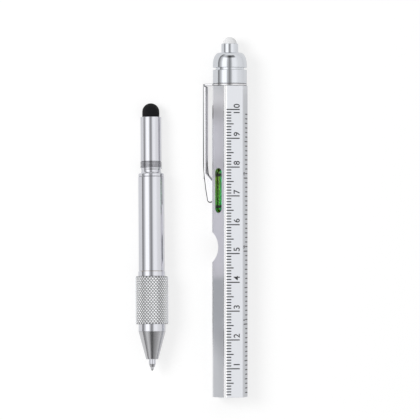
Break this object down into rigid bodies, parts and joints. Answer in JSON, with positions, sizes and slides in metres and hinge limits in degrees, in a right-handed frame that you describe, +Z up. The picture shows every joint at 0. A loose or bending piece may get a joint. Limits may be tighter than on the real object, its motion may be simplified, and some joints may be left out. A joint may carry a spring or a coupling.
{
  "type": "multifunction pen",
  "caption": "Hexagonal ruler and level case with pocket clip and twist-on LED head, beside its reversible insert with a knurled twist ballpoint and a rubber stylus.",
  "frame": {"origin": "on the table, under the middle of the footprint of both pieces", "axes": "+Z up from the table, +Y along both pieces towards the LED and the stylus, +X from the insert towards the case"},
  "size_m": [0.0396, 0.1254, 0.0121],
  "materials": {
    "anodised_aluminium": "satin anodised",
    "polished_chrome": "polished",
    "satin_steel": "satin turned",
    "knurled_chrome": "knurled and plated",
    "plain_steel": "plain",
    "brass": "turned",
    "black_rubber": "matte",
    "white_plastic": "moulded",
    "green_board": "laminate",
    "clear_acrylic": "clear",
    "green_liquid": "clear",
    "air_bubble": "clear",
    "clear_led": "clear"
  },
  "bodies": {
    "case_and_barrel": {"hex_tube": "anodised_aluminium", "thread_bush": "plain_steel", "vial_carrier": "white_plastic", "vial_tube": "clear_acrylic", "vial_plug": "clear_acrylic", "vial_liquid": "green_liquid", "clip_ring": "polished_chrome", "battery_sleeve": "white_plastic", "battery_spring": "plain_steel", "battery_cell_1": "plain_steel", "battery_cell_2": "plain_steel", "battery_cell_3": "plain_steel", "top_collar": "polished_chrome", "head_seal": "black_rubber", "insert_barrel": "polished_chrome", "guide_sleeve": "white_plastic", "thread_coupling": "polished_chrome", "stylus_tube": "polished_chrome", "stylus_tip": "black_rubber", "stylus_plug": "plain_steel"},
    "led_module": {"led_board": "green_board", "led_holder": "white_plastic", "led_contact": "brass", "led_bulb": "clear_led"},
    "head_shell": {"dome_cap": "polished_chrome", "led_bezel": "polished_chrome"},
    "clip": {"clip_arm": "polished_chrome"},
    "bubble": {"vial_bubble": "air_bubble"},
    "grip": {"knurled_grip": "knurled_chrome", "nose_cone": "satin_steel", "cam_sleeve": "brass"},
    "refill": {"refill_ball": "plain_steel", "refill_tip": "plain_steel", "refill_tube": "plain_steel", "cam_follower": "white_plastic"}
  },
  "joints": [
    {"name": "head_travel", "type": "slide", "parent": "case_and_barrel", "child": "led_module", "axis": [0, 1, 0], "range_m": [-0.0006, 0]},
    {"name": "head_twist", "type": "hinge", "parent": "led_module", "child": "head_shell", "pos_m": [0.01342, -0.06266, 0.00599], "axis": [0, -1, 0], "range_deg": [0, 270]},
    {"name": "clip_flex", "type": "hinge", "parent": "case_and_barrel", "child": "clip", "pos_m": [0.00559, 0.04607, 0.00233], "axis": [0.4226, 0, -0.9063], "range_deg": [0, 4], "stiffness_Nm_per_rad": 4.8},
    {"name": "bubble_slide", "type": "slide", "parent": "case_and_barrel", "child": "bubble", "axis": [0, 1, 0], "range_m": [-0.0021, 0.0021]},
    {"name": "grip_twist", "type": "hinge", "parent": "case_and_barrel", "child": "grip", "pos_m": [-0.01408, -0.05325, 0.00696], "axis": [0, 0.9993, -0.0363], "range_deg": [0, 180]},
    {"name": "refill_slide", "type": "slide", "parent": "case_and_barrel", "child": "refill", "axis": [0, 0.9993, -0.0363], "range_m": [0, 0.0042]}
  ],
  "couplings": [
    {"joint": "head_twist", "follows": "head_travel", "rad_per_m": -7854},
    {"joint": "refill_slide", "follows": "grip_twist", "m_per_rad": 0.0013369}
  ]
}
